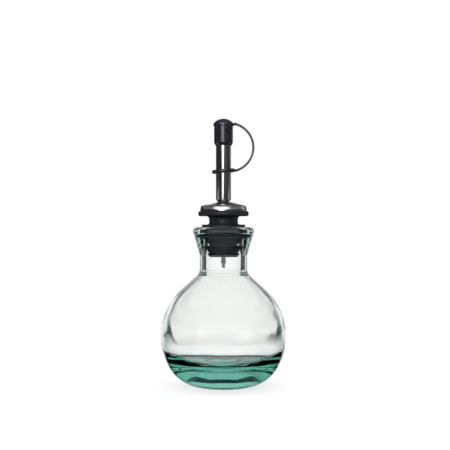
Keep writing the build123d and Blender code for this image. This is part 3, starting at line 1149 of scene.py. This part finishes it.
class Rays:
    """What is known of a ray that meets the floor or the backdrop, as flags of 0 or 1."""

    def __init__(self, tree):
        path = all_results(tree.nodes.new("ShaderNodeLightPath"))
        passes = path["Transmission Depth"]
        self.camera = path["Is Camera Ray"]
        self.glossy = path["Is Glossy Ray"]
        self.diffuse = path["Is Diffuse Ray"]
        self.transmitted = path["Is Transmission Ray"]
        self.bounced = math_node("GREATER_THAN", path["Glossy Depth"], 0.5)
        self.bounced_often = math_node("GREATER_THAN", path["Glossy Depth"], 1.5)
        self.through_glass = math_node("GREATER_THAN", passes, 0.5)
        # Reflected inside the glass: once into it and once out again
        self.inside_glass = math_node("LESS_THAN", passes, 3.5) * self.transmitted
        # Mirrored by the glass's outside, in front or behind
        mirrored = path["Is Singular Ray"] * self.glossy * (1.0 - self.transmitted)
        behind = math_node("GREATER_THAN", passes, 5.5) * self.transmitted
        self.off_glass = math_node("MAXIMUM", mirrored, behind)


class POURER_OT_studio(PieceOperator, bpy.types.Operator):
    """Set the floor, the light, the backdrop and the camera."""

    bl_idname = "pourer.studio"
    bl_label = "Studio"

    def execute(self, context):
        studio = context.scene.pourer_studio
        self.floor(context, studio)
        self.lamp(context, studio)
        self.world(context)
        self.camera(context, studio)
        context.scene.view_settings.view_transform = "Standard"
        return {"FINISHED"}

    def floor(self, context, studio):
        """A wide white floor that keeps the bottle's shadow, and glows for glass and steel."""
        half = studio.floor_size / 2
        corners = [(-half, -half, 0), (half, -half, 0), (half, half, 0), (-half, half, 0)]
        mesh = bpy.data.meshes.new("studio_floor")
        mesh.from_pydata(corners, [], [(0, 1, 2, 3)])
        floor = bpy.data.objects.new("studio_floor", mesh)
        context.scene.collection.objects.link(floor)
        material, tree, shader = new_material("studio_floor")
        tree.nodes.remove(shader)

        rays = Rays(tree)
        glow = result(tree, "ShaderNodeEmission", {
            "Color": two_colours(rays.bounced, straight_tone, white),
            "Strength": self.floor_level(tree, rays),
        })
        grey = (studio.floor_grey, studio.floor_grey, studio.floor_grey, 1.0)
        matt = result(tree, "ShaderNodeBsdfDiffuse", {"Color": grey})
        lift = result(tree, "ShaderNodeEmission", {"Strength": rays.camera * studio.floor_glow})
        lit = result(tree, "ShaderNodeAddShader", {0: matt, 1: lift})
        seen = math_node("MAXIMUM", rays.transmitted, rays.glossy)
        either = result(tree, "ShaderNodeMixShader", {0: seen, 1: lit, 2: glow})
        fill(tree.nodes["Material Output"], {"Surface": either})
        mesh.materials.append(material)

    def floor_level(self, tree, rays):
        """How bright the floor looks in glass, steel and rubber."""
        place = object_place(tree)
        distance = length_of(place)
        east, north, _ = parts(place)
        azimuth = math_node("ARCTAN2", east, north)
        ahead = math_node("ARCTAN2", east, north * -1.0)

        # Straight through the glass it is white with dark rays, with a painted shadow close to the foot
        # and two darker painted shadow rings in it, and a little dimmer where the body's lower half shows
        # it
        straight = 0.3 + ramp(distance, 0.034, 0.042) * 0.7
        straight = straight * (1.0 - (band(distance, *rim_ring) + band(distance, *foot_ring)) * 0.7)
        straight = straight * self.dark_rays(azimuth, ramp(distance, 0.13, 0.28))
        straight = straight * (straight_level - band(distance, *body_ring) * 0.18)
        # Reflections inside the glass see it pale, with a thin dark ring round the foot
        inside = 0.85 - band(distance, *base_ring) * 0.75
        inside = inside * self.dark_sides(azimuth, ramp(distance, 0.5, 0.62))
        inside = inside * self.dark_middle(azimuth, ramp(distance, 0.2, 0.4))
        # Steel and rubber see it dim, paler at the sides, with the lamp's glow far out
        beside = band(abs(ahead), *beside_sector) * ramp(distance, 0.15, 0.3)
        lamp = ramp(distance, 1.8, 2.5) * self.lamp_share(ahead) * (1.0 - rays.through_glass)
        dim = 0.06 + beside * 0.4 + lamp * 3.0 + self.behind_glass(rays, ahead)
        # The glass's outside sees it white behind, and in front but for two dark rings
        clear = band(distance, *outside_ring) + ramp(distance, 0.21, 0.24)
        clear = self.front_and_back(ahead, clear)

        reflected = choose(rays.inside_glass, dim, inside)
        reflected = choose(rays.off_glass, reflected, clear)
        return choose(rays.bounced, straight, reflected)

    def lamp(self, context, studio):
        """A soft lamp beside the camera, which no reflection shows."""
        light = bpy.data.lights.new("front_lamp", "AREA")
        light.shape = "RECTANGLE"
        light.size = studio.lamp_width
        light.size_y = studio.lamp_height
        light.energy = studio.lamp_power
        light.color = studio.lamp_colour
        lamp = bpy.data.objects.new("front_lamp", light)
        context.scene.collection.objects.link(lamp)
        lamp.location = (-studio.lamp_side, -studio.lamp_distance, studio.lamp_rise)
        aim = Vector((0.0, 0.0, studio.lamp_aim)) - lamp.location
        lamp.rotation_euler = aim.to_track_quat("-Z", "Y").to_euler()
        lamp.visible_glossy = False
        lamp.visible_transmission = False

    def world(self, context):
        """White all round. Reflections see a dim room with a lamp in front."""
        world = bpy.data.worlds.new("studio_world")
        context.scene.world = world
        world.use_nodes = True
        tree = world.node_tree
        rays = Rays(tree)
        east, north, up = parts(result(tree, "ShaderNodeTexCoord", output="Generated"))
        azimuth = math_node("ARCTAN2", east, north)
        ahead = math_node("ARCTAN2", east, north * -1.0)

        clear = self.front_and_back(ahead, 1.0 - ramp(up, 0.35, 0.5))
        reflected = self.room(rays, azimuth, ahead, up)
        reflected = choose(rays.inside_glass, reflected, self.seen_inside(azimuth, up))
        reflected = choose(rays.off_glass, reflected, clear)
        bounced = rays.bounced * (1.0 - rays.diffuse)
        straight = self.dark_rays(azimuth, 1.0) * straight_level
        straight = choose(rays.transmitted, 1.0, straight)
        fill(tree.nodes["Background"], {
            "Color": two_colours(rays.transmitted * (1.0 - bounced), white, straight_tone),
            "Strength": choose(bounced, straight, reflected),
        })

    def room(self, rays, azimuth, ahead, up):
        """What steel and rubber see: a dim room with a lamp."""
        # The lamp stands a little left of the camera, and widens upwards
        lamp = self.lamp_share(ahead, radians(13) + ramp(up, 0.05, 0.30) * radians(27)) * 3.3
        lamp = lamp * (1.0 - math_node("MAXIMUM", rays.through_glass, ramp(up, 0.34, 0.46)))
        # The ceiling is pale behind on the left and grey elsewhere, and a wall stands on the right
        ceiling = band(up, *ceiling_band) * (0.2 + band(azimuth, *ceiling_sector) * 0.6)
        overhead = ramp(up, 0.7, 0.95) * 0.3
        wall = band(azimuth, *wall_sector) * 0.28 + ramp(azimuth, *in_radians(108, 118)) * 0.06
        return 0.03 + ceiling + overhead + wall + self.behind_glass(rays, ahead) + lamp

    def seen_inside(self, azimuth, up):
        """What reflections inside the glass see of the backdrop."""
        # Behind, it is white up to a low edge that sinks at the sides, with two bands above
        aside = ramp(abs(azimuth), *in_radians(8, 30))
        low_white = 1.0 - ramp(up - aside * 0.05, 0.135, 0.155)
        middle = ramp(up - aside * 0.17, 0.205, 0.225) - ramp(up, 0.47, 0.51)
        behind = 0.01 + (low_white + middle * 0.8 + ramp(up, 0.62, 0.68)) * 0.88
        behind = behind * self.dark_sides(azimuth, 1.0 - ramp(up, 0.045, 0.075))
        behind = behind * self.dark_middle(azimuth, 1.0 - ramp(up, 0.01, 0.035))
        # In front, it is white but for one soft band
        front = 0.95 - band(up, *front_band) * 0.9
        return choose(ramp(abs(azimuth), *in_radians(82, 106)), behind, front)

    def behind_glass(self, rays, ahead):
        """Light on the rubber and steel inside the neck, and on rays that the base turns often."""
        front = 1.0 - ramp(abs(ahead), *in_radians(70, 90))
        on_pourer = front * rays.through_glass * 0.13
        in_base = rays.bounced_often * rays.through_glass * 0.5
        return math_node("MAXIMUM", on_pourer, in_base)

    def front_and_back(self, ahead, level):
        """The level towards the camera, 1 straight behind and 0 at the sides."""
        front = 1.0 - ramp(abs(ahead), *in_radians(45, 60))
        return ramp(abs(ahead), *in_radians(120, 143)) + front * level

    def lamp_share(self, ahead, half_width=radians(13)):
        """1 towards the lamp, which stands 10 degrees left of the camera, and 0 away from it."""
        return 1.0 - ramp(abs(ahead + radians(10)) / half_width, 0.2, 1.4)

    def dark_rays(self, azimuth, share):
        """1 with a dark gap on both sides of the view straight ahead."""
        return 1.0 - band(abs(azimuth), *ray_sector) * share * 0.96

    def dark_sides(self, azimuth, share):
        """1 with a dark quarter on each side of the view straight ahead."""
        return 1.0 - band(abs(azimuth), *side_sector) * share * 0.97

    def dark_middle(self, azimuth, share):
        """1 with a dark line straight ahead."""
        return 1.0 - (1.0 - ramp(abs(azimuth), *in_radians(18, 22))) * share * 0.8

    def camera(self, context, studio):
        """A level camera in front of the bottle."""
        data = bpy.data.cameras.new("studio_camera")
        data.lens = studio.lens
        data.sensor_width = 36.0
        data.clip_start = 0.01
        camera = bpy.data.objects.new("studio_camera", data)
        context.scene.collection.objects.link(camera)
        camera.location = (studio.camera_side, -studio.camera_distance, studio.camera_height)
        camera.rotation_euler = (radians(90), 0, 0)
        context.scene.camera = camera


class POURER_PT_panel(bpy.types.Panel):
    """Sidebar panel that lists the pieces."""

    bl_label = "Pourer Bottle"
    bl_idname = "POURER_PT_panel"
    bl_space_type = "VIEW_3D"
    bl_region_type = "UI"
    bl_category = "Pourer Bottle"

    def draw(self, context):
        for operator, group in panel_rows:
            box = self.layout.box()
            box.operator(operator.bl_idname)
            settings = getattr(context.scene, group)
            for name in settings.bl_rna.properties.keys():
                if name not in ("rna_type", "name"):
                    box.prop(settings, name)


panel_rows = [
    (POURER_OT_glass_bottle, "pourer_glass"),
    (POURER_OT_stopper, "pourer_stopper"),
    (POURER_OT_steel, "pourer_steel"),
    (POURER_OT_cap, "pourer_cap"),
    (POURER_OT_studio, "pourer_studio"),
]
operator_classes = [operator for operator, _ in panel_rows]


def register():
    """Register the settings, operators and panel."""
    for name, group in settings_classes.items():
        bpy.utils.register_class(group)
        setattr(bpy.types.Scene, name, PointerProperty(type=group))
    for operator in operator_classes + [POURER_PT_panel]:
        bpy.utils.register_class(operator)


def unregister():
    """Take everything that register added away again."""
    for operator in reversed(operator_classes + [POURER_PT_panel]):
        bpy.utils.unregister_class(operator)
    for name, group in reversed(settings_classes.items()):
        delattr(bpy.types.Scene, name)
        bpy.utils.unregister_class(group)


def main():
    """Make every piece and the studio."""
    register()
    for operator in operator_classes:
        group, name = operator.bl_idname.split(".")
        getattr(getattr(bpy.ops, group), name)()


if __name__ == "__main__":
    main()
